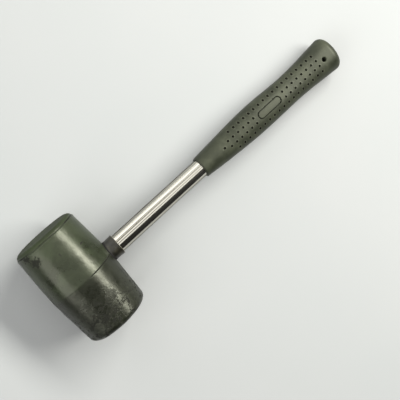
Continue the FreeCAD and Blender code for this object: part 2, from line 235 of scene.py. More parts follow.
def makeHeadRubber():
    material, tree, shader, spot = newMaterial("mouldedHeadRubber")
    axes = addNode(tree, "SeparateXYZ", {"Vector": spot})
    cloud = addNode(tree, "TexNoise", {"Vector": spot, "Scale": 1 / headRubber["mottle"],
                                       "Detail": 5, "Roughness": 0.6})
    wander = addNode(tree, "Math", {0: cloud.outputs["Fac"], 1: headRubber["border"],
                                    2: axes.outputs["Y"]}, operation="MULTIPLY_ADD")
    half = addNode(tree, "MapRange", {"Value": wander.outputs[0], "From Min": 0.5, "From Max": 4.5})
    base = addNode(tree, "Mix", {"Factor": half.outputs["Result"],
                                 "A": linear(headRubber["lowerHalf"]),
                                 "B": linear(headRubber["upperHalf"])}, data_type="RGBA")
    patches = addNode(tree, "ValToRGB", {"Fac": cloud.outputs["Fac"]},
                      stops=[(0.36, 0.62), (0.5, 1.0), (0.64, 1.45)])
    mottled = addNode(tree, "Mix", {"Factor": 0.8, "A": base.outputs["Result"],
                                    "B": patches.outputs["Color"]},
                      data_type="RGBA", blend_type="MULTIPLY")
    # mossy patches, and the fresher green of the upper rim
    drift = addNode(tree, "TexNoise", {"Vector": spot, "Scale": 1 / headRubber["mossSize"],
                                       "Detail": 4, "W": 3.0}, noise_dimensions="4D")
    mossy = addNode(tree, "MapRange", {"Value": drift.outputs["Fac"], "From Min": 0.5,
                                       "From Max": 0.6, "To Max": 0.75})
    upperMoss = addNode(tree, "Math", {0: mossy.outputs["Result"], 1: half.outputs["Result"]},
                        operation="MULTIPLY")
    moss = addNode(tree, "Mix", {"Factor": upperMoss.outputs[0], "A": mottled.outputs["Result"],
                                 "B": linear(headRubber["moss"])}, data_type="RGBA")
    band = addNode(tree, "MapRange", {"Value": axes.outputs["Y"],
                                      "From Min": headRubber["rimBandStart"][0],
                                      "From Max": headRubber["rimBandStart"][1]})
    rimTone = addNode(tree, "Mix", {"Factor": 0.8, "A": linear(headRubber["rimBand"]),
                                    "B": patches.outputs["Color"]},
                      data_type="RGBA", blend_type="MULTIPLY")
    banded = addNode(tree, "Mix", {"Factor": band.outputs["Result"], "A": moss.outputs["Result"],
                                   "B": rimTone.outputs["Result"]}, data_type="RGBA")
    # scuffs gather towards the lower face
    low = addNode(tree, "MapRange", {"Value": axes.outputs["Y"],
                                     "From Min": headRubber["scuffRun"][0],
                                     "From Max": headRubber["scuffRun"][1]})
    worst = addNode(tree, "Mapping", {"Vector": spot, "Location": headRubber["scuffHeart"][0],
                                      "Scale": headRubber["scuffHeart"][1]}, vector_type="TEXTURE")
    far = addNode(tree, "VectorMath", {0: worst.outputs["Vector"]}, operation="LENGTH")
    heart = addNode(tree, "MapRange", {"Value": far.outputs["Value"], "From Min": 1.3,
                                       "From Max": 0.4, "To Max": 0.06})
    rub = addNode(tree, "TexNoise", {"Vector": spot, "Scale": 1 / headRubber["scuffSize"],
                                     "Detail": 9, "Roughness": 0.7, "Distortion": 0.8})
    harder = addNode(tree, "Math", {0: rub.outputs["Fac"], 1: heart.outputs["Result"]})
    rubbed = addNode(tree, "ValToRGB", {"Fac": harder.outputs[0]},
                     stops=[(0.565, 0.0), (0.60, 0.92)])
    scuff = addNode(tree, "Math", {0: rubbed.outputs["Color"], 1: low.outputs["Result"]},
                    operation="MULTIPLY")
    # scratches: the bent edges of stretched cells, broken up by the same rubbing
    often, sway = headRubber["scratchBend"]
    bend = addNode(tree, "TexNoise", {"Vector": spot, "Scale": 1 / often, "Detail": 3})
    bent = addNode(tree, "VectorMath", {0: bend.outputs["Color"], 1: (sway, sway, sway), 2: spot},
                   operation="MULTIPLY_ADD")
    marks = []
    for turn, long, wide in headRubber["scratches"]:
        way = addNode(tree, "Mapping", {"Vector": bent.outputs["Vector"], "Rotation": (0, 0, turn),
                                        "Scale": (
            1 / long, 1 / wide, 1 / headRubber["scratchDepth"])})
        cells = addNode(tree, "TexVoronoi", {"Vector": way.outputs["Vector"], "Scale": 1.0},
                        feature="DISTANCE_TO_EDGE")
        thin = addNode(tree, "MapRange", {"Value": cells.outputs["Distance"], "From Min": 0.038,
                                          "From Max": 0.015})
        marks.append(thin.outputs["Result"])
    pair = addNode(tree, "Math", {0: marks[0], 1: marks[1]}, operation="MAXIMUM")
    every = addNode(tree, "Math", {0: pair.outputs[0], 1: marks[2]}, operation="MAXIMUM")
    broken = addNode(tree, "MapRange", {"Value": harder.outputs[0], "From Min": 0.475,
                                        "From Max": 0.535})
    cut = addNode(tree, "Math", {0: every.outputs[0], 1: broken.outputs["Result"]},
                  operation="MULTIPLY")
    scratched = addNode(tree, "Math", {0: cut.outputs[0], 1: low.outputs["Result"]},
                        operation="MULTIPLY")
    # painted shade in the parting line, from the collar to the barrel's top
    away = addNode(tree, "Math", {0: axes.outputs["Y"]}, operation="ABSOLUTE")
    inLine = addNode(tree, "MapRange", {"Value": away.outputs[0],
                                        "From Min": headRubber["seamShade"][0],
                                        "From Max": headRubber["seamShade"][1]})
    run = addNode(tree, "MapRange", {"Value": axes.outputs["X"],
                                     "From Min": headRubber["seamRun"][0],
                                     "From Max": headRubber["seamRun"][1]})
    seam = addNode(tree, "Math", {0: inLine.outputs["Result"], 1: run.outputs["Result"]},
                   operation="MULTIPLY")
    # old stains by the upper rim and a nick near the collar; painted shade round the collar's foot
    # and along the rim's moulded line
    fleck = addNode(tree, "TexNoise", {"Vector": spot, "Scale": 1 / headRubber["fleck"],
                                       "Detail": 6, "Roughness": 0.6})
    across = addNode(tree, "CombineXYZ", {"Y": axes.outputs["Y"], "Z": axes.outputs["Z"]})
    aside = addNode(tree, "VectorMath", {0: across.outputs[0]}, operation="LENGTH")
    ring = addNode(tree, "MapRange", {"Value": aside.outputs["Value"],
                                      "From Min": headRubber["collarFootShade"][0],
                                      "From Max": headRubber["collarFootShade"][1]})
    front = addNode(tree, "Math", {0: axes.outputs["X"], 1: 20.0}, operation="GREATER_THAN")
    corner = addNode(tree, "Math", {0: ring.outputs["Result"], 1: front.outputs[0]},
                     operation="MULTIPLY")
    darkening = [seam.outputs[0], corner.outputs[0]]
    for place, reach, power in headRubber["stains"]:
        patch = addNode(tree, "Mapping", {"Vector": spot, "Location": place, "Scale": reach},
                        vector_type="TEXTURE")
        ball = addNode(tree, "VectorMath", {0: patch.outputs["Vector"]}, operation="LENGTH")
        rough = addNode(tree, "Math", {0: fleck.outputs["Fac"], 1: 3.0, 2: ball.outputs["Value"]},
                        operation="MULTIPLY_ADD")
        near = addNode(tree, "MapRange", {"Value": rough.outputs[0], "From Min": 2.45,
                                          "From Max": 2.2, "To Max": power})
        darkening.append(near.outputs["Result"])
    # painted shade in the rim's moulded line, patchy along it
    off = addNode(tree, "Math", {0: axes.outputs["Y"], 1: head["rimLine"]}, operation="SUBTRACT")
    size = addNode(tree, "Math", {0: off.outputs[0]}, operation="ABSOLUTE")
    inRim = addNode(tree, "MapRange", {"Value": size.outputs[0],
                                       "From Min": headRubber["rimLineShade"][0],
                                       "From Max": headRubber["rimLineShade"][1]})
    worn = addNode(tree, "MapRange", {"Value": drift.outputs["Fac"], "From Min": 0.42,
                                      "From Max": 0.54, "To Min": 0.95, "To Max": 0.35})
    rimLineShade = addNode(tree, "Math", {0: inRim.outputs["Result"], 1: worn.outputs["Result"]},
                      operation="MULTIPLY")
    dark = addNode(tree, "Math", {0: scuff.outputs[0], 1: rimLineShade.outputs[0]}, operation="MAXIMUM")
    for mark in darkening + [scratched.outputs[0]]:
        dark = addNode(tree, "Math", {0: dark.outputs[0], 1: mark}, operation="MAXIMUM")
    # one dark colour for the scuffs, stains and scratches, and for the painted shade in the moulded
    # lines and round the collar
    darker = addNode(tree, "Mix", {"Factor": dark.outputs[0], "A": banded.outputs["Result"],
                                   "B": linear(headRubber["scuff"])}, data_type="RGBA")
    # pale dust over the scuffs and on both striking faces
    dust = addNode(tree, "TexNoise", {"Vector": spot, "Scale": 1 / headRubber["chalkSize"],
                                      "Detail": 8, "Roughness": 0.75, "W": 1.0},
                    noise_dimensions="4D")
    dusty = addNode(tree, "MapRange", {"Value": dust.outputs["Fac"], "From Min": 0.56,
                                       "From Max": 0.66, "To Max": 0.35})
    onFace = addNode(tree, "MapRange", {"Value": away.outputs[0],
                                        "From Min": headRubber["strikingFace"][0],
                                        "From Max": headRubber["strikingFace"][1]})
    used = addNode(tree, "Math", {0: low.outputs["Result"], 1: onFace.outputs["Result"]},
                   operation="MAXIMUM")
    chalked = addNode(tree, "Math", {0: dusty.outputs["Result"], 1: used.outputs[0]},
                      operation="MULTIPLY")
    paler = addNode(tree, "Mix", {"Factor": chalked.outputs[0], "A": darker.outputs["Result"],
                                  "B": linear(headRubber["chalk"])}, data_type="RGBA")
    tree.links.new(paler.outputs["Result"], shader.inputs["Base Color"])
    dull = addNode(tree, "MapRange", {"Value": cloud.outputs["Fac"], "From Min": 0.36,
                                      "From Max": 0.64, "To Min": headRubber["roughness"][0],
                                      "To Max": headRubber["roughness"][1]})
    # the striking face and its rim are rubbed dull
    struck = addNode(tree, "MapRange", {"Value": size.outputs[0], "From Min": 0.6, "From Max": 2.0})
    outward = addNode(tree, "Math", {0: band.outputs["Result"], 1: struck.outputs["Result"]},
                      operation="MULTIPLY")
    duller = addNode(tree, "Mix", {"Factor": outward.outputs[0], "A": dull.outputs["Result"],
                                   "B": headRubber["dullRim"]}, data_type="FLOAT")
    dirty = addNode(tree, "Mix", {"Factor": dark.outputs[0], "A": duller.outputs["Result"],
                                  "B": headRubber["dullDarkened"]}, data_type="FLOAT")
    tree.links.new(dirty.outputs["Result"], shader.inputs["Roughness"])
    grain = addNode(tree, "TexNoise", {"Vector": spot, "Scale": 1 / headRubber["grain"],
                                       "Detail": 3})
    dents = addNode(tree, "Math", {0: dark.outputs[0], 1: -0.5, 2: grain.outputs["Fac"]},
                    operation="MULTIPLY_ADD")
    cuts = addNode(tree, "Math", {0: scratched.outputs[0], 1: -2.0, 2: dents.outputs[0]},
                   operation="MULTIPLY_ADD")
    wave = addNode(tree, "TexNoise", {"Vector": spot, "Scale": 1 / headRubber["wave"], "Detail": 2})
    uneven = addNode(tree, "Bump", {"Height": wave.outputs["Fac"],
                                    "Distance": headRubber["waveDepth"] / 1000})
    bump = addNode(tree, "Bump", {"Height": cuts.outputs[0], "Normal": uneven.outputs["Normal"],
                                  "Distance": headRubber["grainDepth"] / 1000})
    tree.links.new(bump.outputs["Normal"], shader.inputs["Normal"])
    shader.inputs["IOR"].default_value = headRubber["ior"]
    shader.inputs["Specular Tint"].default_value = linear(headRubber["sheen"])
    return material


# Head: a barrel of two tapers that meet at the parting plane, with rounded striking rims.
head = {
    "halfLength": 47.8,
    "midRadius": 31.5,
    "endRadius": 28.7,
    "rimRound": 5.6,
    "rimLine": 44.6,  # moulded line round the upper rim
    "rimLineDepth": 0.5,
    "rimLineWidth": 0.7,
    "lip": 0.24,  # the low ridge beside it
    "lipAside": 1.3,
    "lipWidth": 0.9,
    "lineDepth": 0.45,  # parting line
    "lineWidth": 0.6,
    "lineFade": (84, 68),  # degrees from the handle's line, nearly gone and whole
    "mismatch": 0.08,  # lower half of the mould, set in
    "mismatchRun": 0.4,
    "flatFace": 20,  # radius that the moulded lines leave alone
    "steps": 256,
    "collarRecess": (9.8, 26.5),
    "crownRecess": (11.1, -27.7),
    "bore": 8.15,
    "flareStart": -24.7,
}


def barrelRadius(y):
    return head["midRadius"] - abs(y) * (head["midRadius"] - head["endRadius"]) / head["halfLength"]


def makeHead():
    slope = math.atan((head["midRadius"] - head["endRadius"]) / head["halfLength"])
    rim = head["rimRound"]
    centre = head["halfLength"] - rim
    ring = barrelRadius(centre) - rim / math.cos(slope)
    tilt = math.degrees(slope)
    face = [(head["halfLength"], r) for r in np.linspace(0, ring, 12)]
    corner = arc((centre, ring), rim, 90, tilt, 36)
    tangent = corner[-1][0]
    side = [(y, barrelRadius(y)) for y in np.linspace(tangent, 1.4, 46)]
    seam = [(y, barrelRadius(y)) for y in (1.1, 0.8, 0.55, 0.38, 0.22, 0.08)]
    half = face + corner[1:] + side[1:] + seam
    lower = [(-y, r) for y, r in half]
    upper = [(y, r) for y, r in reversed(half)]
    bm = spinProfile(lower + [(0, head["midRadius"])] + upper, "y", head["steps"])
    gone, whole = head["lineFade"]
    for vert in bm.verts:
        y = vert.co.y
        radius = math.hypot(vert.co.x, vert.co.z)
        if radius < head["flatFace"]:
            continue
        turn = abs(math.degrees(math.atan2(vert.co.z, vert.co.x)))
        fade = min(max((gone - turn) / (gone - whole), 0.1), 1)
        line = head["lineDepth"] * fade * max(0, 1 - abs(y) / head["lineWidth"])
        step = head["mismatch"] * min(max(-y / head["mismatchRun"], 0), 1)
        beyond = y - head["rimLine"]
        lip = head["lip"] * math.exp(-((beyond + head["lipAside"]) / head["lipWidth"]) ** 2)
        lip -= head["rimLineDepth"] * max(0, 1 - abs(beyond) / head["rimLineWidth"])
        grown = (radius - line - step + lip) / radius
        vert.co.x *= grown
        vert.co.z *= grown

    def height(co):
        return math.sqrt(max(barrelRadius(co.y) ** 2 - co.z ** 2, 1))

    radius, seat = head["collarRecess"]
    down = [(radius + 1.6, None, 0), (radius + 0.7, None, 0), (radius + 0.44, None, 0.05),
            (radius + 0.2, None, 0.2), (radius + 0.05, None, 0.44), (radius, None, 0.75),
            (radius, seat, 0), (head["bore"], seat, 0), (head["bore"], 0.0, 0)]
    openRound(bm, (0, 0), 0, 1, radius + 3.2, down, height)
    radius, seat = head["crownRecess"]
    down = [(radius + 1.4, None, 0), (radius + 0.5, None, 0), (radius + 0.3, None, 0.04),
            (radius + 0.12, None, 0.15), (radius + 0.03, None, 0.32), (radius, None, 0.55),
            (radius, seat, 0), (radius - 1.0, seat, 0), (head["bore"], head["flareStart"], 0)]
    openRound(bm, (0, 0), 0, -1, radius + 3.0, down, height)
    bmesh.ops.bridge_loops(bm, edges=[e for e in bm.edges if e.is_boundary])
    piece = finishPiece("malletHead", bm, makeHeadRubber(), 40)
    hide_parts("head")


makeHead()


# Tube: bright plated steel over a drawn, lengthwise grain, which gives the eye clear reflections
# broken into fine light and dark lines.
tube = {
    "radius": 8.0,
    "wall": 1.2,
    "crown": -27.7,
    "flareStart": -24.7,
    "flareRise": 2.0,
    "bead": (32.5, 33.5, 35.5, 36.5),
    "beadRise": 0.9,
    "end": 262.0,
    "bright": "#dad7cd",
    "between": "#bdbab0",
    "streak": "#7f7c73",
    "edge": "#0c0c0b",  # painted shade: the reflection is darkened edge-on
    "grainWidth": 0.95,  # mm round the tube, drawn coarser than the real lines so that it shows
    "grainLength": 240.0,
    "bandWidth": 3.0,
    "bandLength": 500.0,
    "grainDepth": 0.003,
    "roughness": 0.14,
    "steps": 256,
}


def makeTube():
    material, tree, shader, spot = newMaterial("platedDrawnSteel")
    stretch = addNode(tree, "Mapping", {"Vector": spot, "Scale": (
        1 / tube["grainLength"], 1 / tube["grainWidth"], 1 / tube["grainWidth"])})
    lines = addNode(tree, "TexNoise", {"Vector": stretch.outputs["Vector"], "Scale": 1.0,
                                       "Detail": 4, "Roughness": 0.6})
    broad = addNode(tree, "Mapping", {"Vector": spot, "Scale": (
        1 / tube["bandLength"], 1 / tube["bandWidth"], 1 / tube["bandWidth"])})
    bands = addNode(tree, "TexNoise", {"Vector": broad.outputs["Vector"], "Scale": 1.0,
                                       "Detail": 2})
    both = addNode(tree, "Mix", {"Factor": 0.3, "A": lines.outputs["Fac"],
                                 "B": bands.outputs["Fac"]},
                   data_type="FLOAT")
    tone = addNode(tree, "ValToRGB", {"Fac": both.outputs["Result"]},
                   stops=[(0.40, tube["streak"]), (0.455, tube["between"]), (0.51, tube["bright"])])
    tree.links.new(tone.outputs["Color"], shader.inputs["Base Color"])
    haze = addNode(tree, "MapRange", {"Value": lines.outputs["Fac"], "From Min": 0.3,
                                      "From Max": 0.7, "To Min": tube["roughness"] - 0.04,
                                      "To Max": tube["roughness"] + 0.08})
    tree.links.new(haze.outputs["Result"], shader.inputs["Roughness"])
    bump = addNode(tree, "Bump", {"Height": lines.outputs["Fac"],
                                  "Distance": tube["grainDepth"] / 1000})
    tree.links.new(bump.outputs["Normal"], shader.inputs["Normal"])
    shader.inputs["Metallic"].default_value = 1.0
    # the edge tint paints shade along the tube's edges
    shader.inputs["Specular Tint"].default_value = linear(tube["edge"])
    radius = tube["radius"]
    a, b, c, d = tube["bead"]
    outside = [(tube["crown"], radius + tube["flareRise"]), (tube["flareStart"], radius),
               (a, radius), (b, radius + tube["beadRise"]),
               (c, radius + tube["beadRise"]), (d, radius)]
    outside += [(x, radius) for x in np.linspace(60, tube["end"], 9)]
    inside = [(x, r - tube["wall"]) for x, r in reversed(outside)]
    bm = spinProfile(outside + inside, "x", tube["steps"], closed=True)
    piece = finishPiece("handleTube", bm, material)
    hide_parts("handle_tube")


makeTube()


# Collar: browner moulded rubber, which gives the eye a dusty matt ring with painted shade in its
# corner and a rubbed edge.
collar = {
    "foot": 26.5,
    "end": 40.3,
    "bore": 8.12,
    "radius": 9.3,
    "lipRadius": 9.72,
    "round": 0.35,
    "barrel": 31.4,  # half width of the head beside it
    "wornEdge": "#7a776c",
    "dark": "#11100b",
    "colour": "#1b1a13",
    "dust": "#39362b",
    # painted shade in the corner with the barrel
    "darkening": "#050504",
    "mottle": 6.0,
    "grain": 0.7,  # mm, drawn coarser than the real texture so that it shows
    "grainDepth": 0.012,
    "roughness": (0.28, 0.46),
    "dullDarkened": 0.9,
    "shadeHeight": (1.3, 0.3),  # painted shade by height above the barrel, none and all
    "rubbed": (0.5, 0.1, 0.7),  # short of the open end, none and all, and how strong
    "steps": 160,
}


def makeCollar():
    material, tree, shader, spot = newMaterial("mouldedCollarRubber")
    cloud = addNode(tree, "TexNoise", {"Vector": spot, "Scale": 1 / collar["mottle"],
                                       "Detail": 6, "Roughness": 0.65})
    tone = addNode(tree, "ValToRGB", {"Fac": cloud.outputs["Fac"]},
                   stops=[(0.32, collar["dark"]), (0.5, collar["colour"]), (0.72, collar["dust"])])
    # painted shade in the corner with the barrel, and a rubbed edge at the open end
    axes = addNode(tree, "SeparateXYZ", {"Vector": spot})
    square = addNode(tree, "Math", {0: axes.outputs["Z"], 1: axes.outputs["Z"]},
                     operation="MULTIPLY")
    left = addNode(tree, "Math", {0: collar["barrel"] ** 2, 1: square.outputs[0]},
                   operation="SUBTRACT")
    barrel = addNode(tree, "Math", {0: left.outputs[0]}, operation="SQRT")
    stand = addNode(tree, "Math", {0: axes.outputs["X"], 1: barrel.outputs[0]},
                    operation="SUBTRACT")
    deep = addNode(tree, "MapRange", {"Value": stand.outputs[0],
                                      "From Min": collar["shadeHeight"][0],
                                      "From Max": collar["shadeHeight"][1]})
    cornerShaded = addNode(tree, "Mix", {"Factor": deep.outputs["Result"], "A": tone.outputs["Color"],
                                  "B": linear(collar["darkening"])}, data_type="RGBA")
    none, whole, strength = collar["rubbed"]
    rubbedEnd = addNode(tree, "MapRange", {"Value": axes.outputs["X"],
                                           "From Min": collar["end"] - none,
                                           "From Max": collar["end"] - whole, "To Max": strength})
    edge = addNode(tree, "Mix", {"Factor": rubbedEnd.outputs["Result"],
                                 "A": cornerShaded.outputs["Result"],
                                 "B": linear(collar["wornEdge"])}, data_type="RGBA")
    tree.links.new(edge.outputs["Result"], shader.inputs["Base Color"])
    dull = addNode(tree, "MapRange", {"Value": cloud.outputs["Fac"],
                                      "To Min": collar["roughness"][0],
                                      "To Max": collar["roughness"][1]})
    matt = addNode(tree, "Mix", {"Factor": deep.outputs["Result"], "A": dull.outputs["Result"],
                                 "B": collar["dullDarkened"]}, data_type="FLOAT")
    tree.links.new(matt.outputs["Result"], shader.inputs["Roughness"])
    grain = addNode(tree, "TexNoise", {"Vector": spot, "Scale": 1 / collar["grain"], "Detail": 3})
    bump = addNode(tree, "Bump", {"Height": grain.outputs["Fac"],
                                  "Distance": collar["grainDepth"] / 1000})
    tree.links.new(bump.outputs["Normal"], shader.inputs["Normal"])
    lipCentre = (collar["end"] - collar["round"], collar["lipRadius"] - collar["round"])
    innerCentre = (collar["end"] - collar["round"], collar["bore"] + collar["round"])
    profile = [(collar["foot"], collar["bore"]), (collar["foot"], collar["radius"])]
    profile += [(x, collar["radius"]) for x in (30.0, 33.0, 35.5)]
    profile += [(37.2, collar["radius"] + 0.08), (38.6, collar["radius"] + 0.22)]
    profile += arc(lipCentre, collar["round"], -10, 90, 5)
    profile += arc(innerCentre, collar["round"], 90, 180, 4)
    # a groove over the tube's bead
    a, b, c, d = tube["bead"]
    groove = collar["bore"] + tube["beadRise"]
    profile += [(d, collar["bore"]), (c, groove), (b, groove), (a, collar["bore"])]
    bm = spinProfile(profile, "x", collar["steps"], closed=True)
    piece = finishPiece("neckCollar", bm, material)
    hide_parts("neck_collar")


makeCollar()


# Button in the crown of the head, its face following the barrel: moulded rubber, plain and matt.
cap = {
    "radius": 11.0,
    "sink": 0.3,
    "seat": -27.7,
    "dark": "#181a13",
    "colour": "#22251d",
    "light": "#2f3227",
    "mottle": 8.0,
    "grain": 0.8,  # mm, drawn coarser than the real texture so that it shows
    "grainDepth": 0.012,
    "roughness": (0.42, 0.58),
    "edge": ((0.0, 0.5), (0.08, 0.24), (0.24, 0.08), (0.5, 0.0)),  # in from the edge, and down
    "rings": (9.6, 8.4, 7.0, 5.6, 4.2, 2.8, 1.4, 0.0),
    "steps": 128,
}


def makeCap():
    material, tree, shader, spot = newMaterial("mouldedCapRubber")
    cloud = addNode(tree, "TexNoise", {"Vector": spot, "Scale": 1 / cap["mottle"], "Detail": 5})
    tone = addNode(tree, "ValToRGB", {"Fac": cloud.outputs["Fac"]},
                   stops=[(0.35, cap["dark"]), (0.55, cap["colour"]), (0.75, cap["light"])])
    tree.links.new(tone.outputs["Color"], shader.inputs["Base Color"])
    dull = addNode(tree, "MapRange", {"Value": cloud.outputs["Fac"], "To Min": cap["roughness"][0],
                                      "To Max": cap["roughness"][1]})
    tree.links.new(dull.outputs["Result"], shader.inputs["Roughness"])
    grain = addNode(tree, "TexNoise", {"Vector": spot, "Scale": 1 / cap["grain"], "Detail": 3})
    bump = addNode(tree, "Bump", {"Height": grain.outputs["Fac"],
                                  "Distance": cap["grainDepth"] / 1000})
    tree.links.new(bump.outputs["Normal"], shader.inputs["Normal"])
    bm = spinProfile([(cap["seat"], 0.0), (cap["seat"], cap["radius"])], "x", cap["steps"])
    edges = [e for e in bm.edges if e.is_boundary]
    radii = [(cap["radius"] - inward, drop) for inward, drop in cap["edge"]]
    radii += [(radius, 0.0) for radius in cap["rings"]]
    for radius, drop in radii:
        grown = bmesh.ops.extrude_edge_only(bm, edges=edges)["geom"]
        edges = [g for g in grown if isinstance(g, bmesh.types.BMEdge)]
        for vert in [g for g in grown if isinstance(g, bmesh.types.BMVert)]:
            away = Vector((vert.co.y, vert.co.z)).normalized() * radius
            vert.co.y, vert.co.z = away
            vert.co.x = drop + cap["sink"] - math.sqrt(barrelRadius(away.x) ** 2 - away.y ** 2)
    piece = finishPiece("crownCap", bm, material)
    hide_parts("crown_cap")


makeCap()


# Grip: oval moulded rubber sleeve with dimples, a blank label panel and a hang hole.
grip = {
    "front": 136.4,
    "end": 298.2,
    "places": (136.4, 165.0, 205.0, 238.0, 262.0, 280.0, 298.2),
    "widths": (9.9, 12.05, 13.9, 13.15, 13.75, 15.2, 16.6),
    "depths": (9.9, 10.85, 11.8, 11.05, 11.45, 12.4, 13.2),
    "sets": (0.0, -0.33, -0.55, -1.1, -1.1, -1.1, -0.99),
    "bore": 8.12,
    "boreEnd": 263.6,
    "frontRound": 0.9,
    "buttRound": 6.0,
    "around": 216,
    "rings": ((160.6, 26), (277.6, 338), (291.7, 34)),  # up to where, and how many
    "dimple": 1.05,
    "dimpleDepth": 1.25,
    "dimpleSpan": 2.6,  # to each side, that a dimple moves
    "rowGap": 5.5,
    "pitch": 6.0,
    "firstDimple": 167.4,
    "dimpleCount": 19,
    "panel": (215.3, 27.0, 7.6),
    "groove": 0.9,
    "pressEnd": 291.0,  # nothing is pressed in beyond it
    "hang": (282.3, -1.1, 2.0),
}


def splineThrough(places, values):
    # natural cubic through the sections
    x, y = np.array(places, float), np.array(values, float)
    gaps = np.diff(x)
    count = len(x)
    rows, right = np.eye(count), np.zeros(count)
    for i in range(1, count - 1):
        rows[i, i - 1:i + 2] = gaps[i - 1], 2 * (gaps[i - 1] + gaps[i]), gaps[i]
        right[i] = 6 * ((y[i + 1] - y[i]) / gaps[i] - (y[i] - y[i - 1]) / gaps[i - 1])
    bend = np.linalg.solve(rows, right)

    def at(q):
        i = np.clip(np.searchsorted(x, q) - 1, 0, count - 2)
        h, a, b = gaps[i], x[i + 1] - q, q - x[i]
        return ((bend[i] * a ** 3 + bend[i + 1] * b ** 3) / (6 * h)
                + (y[i] / h - bend[i] * h / 6) * a + (y[i + 1] / h - bend[i + 1] * h / 6) * b)

    return at


gripWidth = splineThrough(grip["places"], grip["widths"])
gripDepth = splineThrough(grip["places"], grip["depths"])
gripSet = splineThrough(grip["places"], grip["sets"])


def gripStations():
    # each ring of the sleeve: place, half width, half depth, sideways set
    front, end, bore = grip["front"], grip["end"], grip["bore"]
    rings = [(grip["boreEnd"], 0, 0, 0), (grip["boreEnd"], bore, bore, 0), (200.0, bore, bore, 0),
             (front + 0.5, bore, bore, 0)]
    lip = front + grip["frontRound"]
    broad = float(gripWidth(lip)) - grip["frontRound"]
    for turn in np.radians(np.linspace(-90, 90, 11)[:4]):
        mouth = bore + 0.35 + 0.35 * math.sin(turn)
        rings.append((front + 0.35 - 0.35 * math.cos(turn), mouth, mouth, 0))
    for turn in np.radians(np.linspace(0, 90, 7)):
        r = broad + grip["frontRound"] * math.sin(turn)
        rings.append((lip - grip["frontRound"] * math.cos(turn), r, r, 0))
    start = lip
    for stop, count in grip["rings"]:
        for x in np.linspace(start, stop, count + 1)[1:]:
            rings.append((x, float(gripWidth(x)), float(gripDepth(x)), float(gripSet(x))))
        start = stop
    last = rings[-1]
    tilt, radius = 5, grip["buttRound"]
    wide, deep = (last[k] - radius * math.cos(math.radians(tilt)) for k in (1, 2))
    for turn in np.radians(np.linspace(-tilt, 90, 15)[1:]):
        rings.append((end - radius + radius * math.sin(turn), wide + radius * math.cos(turn),
                      deep + radius * math.cos(turn), last[3]))
    for share in (0.8, 0.6, 0.4, 0.2, 0.0):
        rings.append((end, wide * share, deep * share, last[3]))
    return np.array(rings)


def pressDimples(x, y, outer, upper):
    # moves points on to each dimple's rim and floor; gives the depth, the rim and the pit of each
    depth, rim, pit = np.zeros(len(x)), np.zeros(len(x)), np.zeros(len(x))
    reach = grip["dimple"]
    guard = grip["panel"][1] / 2 + reach
    spots = [(grip["firstDimple"] - grip["pitch"], 0.0)]
    for count in range(grip["dimpleCount"]):
        along = grip["firstDimple"] + count * grip["pitch"]
        # the two middle rows leave room for the panel, the outer two start one pitch further on
        for row in (-1.5, -0.5, 0.5, 1.5):
            if abs(along - grip["panel"][0]) < guard if abs(row) < 1 else count == 0:
                continue
            spots.append((along, row * grip["rowGap"]))
    for side in (upper, ~upper):
        for along, across in spots:
            here = np.flatnonzero(outer & side & (np.abs(x - along) < grip["dimpleSpan"])
                                  & (np.abs(y - across) < grip["dimpleSpan"]))
            dx, dy = x[here] - along, y[here] - across
            far = np.hypot(dx, dy)
            inner = (far >= reach - 0.30) & (far < reach)
            brink = (far >= reach) & (far < reach + 0.28)
            moved = np.where(inner, reach - 0.10 + (far - reach + 0.15) * 0.12, far)
            moved = np.where(brink, reach + 0.07 + (far - reach - 0.14) * 0.25, moved)
            scale = moved / np.maximum(far, 0.001)
            x[here], y[here] = along + dx * scale, across + dy * scale
            floor = moved < reach
            bowl = np.clip(1 - (moved / reach) ** 4, 0, 1)
            depth[here] += np.where(floor, grip["dimpleDepth"] * (0.75 + 0.25 * bowl), 0)
            swell = 0.07 * np.exp(-((moved - reach - 0.35) / 0.26) ** 2)
            depth[here] -= np.where(floor, 0, swell)
            ringed = np.clip(1.9 - moved, 0, 0.8) / 0.8
            rim[here] = np.maximum(rim[here], np.where(floor, 0, ringed))
            pit[here] = np.maximum(pit[here], floor)
    return depth, rim, pit


def pressPanel(x, y, outer):
    # a stadium groove round the blank panel, deeper at its two ends
    place, length, width = grip["panel"]
    run = (length - width) / 2
    nearest = np.clip(x, place - run, place + run)
    dx, dy = x - nearest, y
    far = np.hypot(dx, dy)
    out, inside = width / 2, width / 2 - grip["groove"]
    near = outer & (far < out + 0.4) & (far > inside - 0.4)
    moved = far.copy()
    for edge, sign in ((out, 1), (inside, -1)):
        off = (far - edge) * sign
        inner, brink = near & (off >= -0.24) & (off < 0), near & (off >= 0) & (off < 0.24)
        moved = np.where(inner, edge + sign * (-0.07 + (off + 0.12) * 0.1), moved)
        moved = np.where(brink, edge + sign * (0.06 + (off - 0.12) * 0.2), moved)
    scale = np.where(near, moved / np.maximum(far, 0.001), 1)
    x[:], y[:] = nearest + dx * scale, dy * scale
    floor = near & (moved < out) & (moved > inside)
    ends = np.clip((np.abs(x - place) - run) / 1.5, 0, 1)
    return np.where(floor, 0.6 + 0.45 * ends, 0), floor.astype(float)


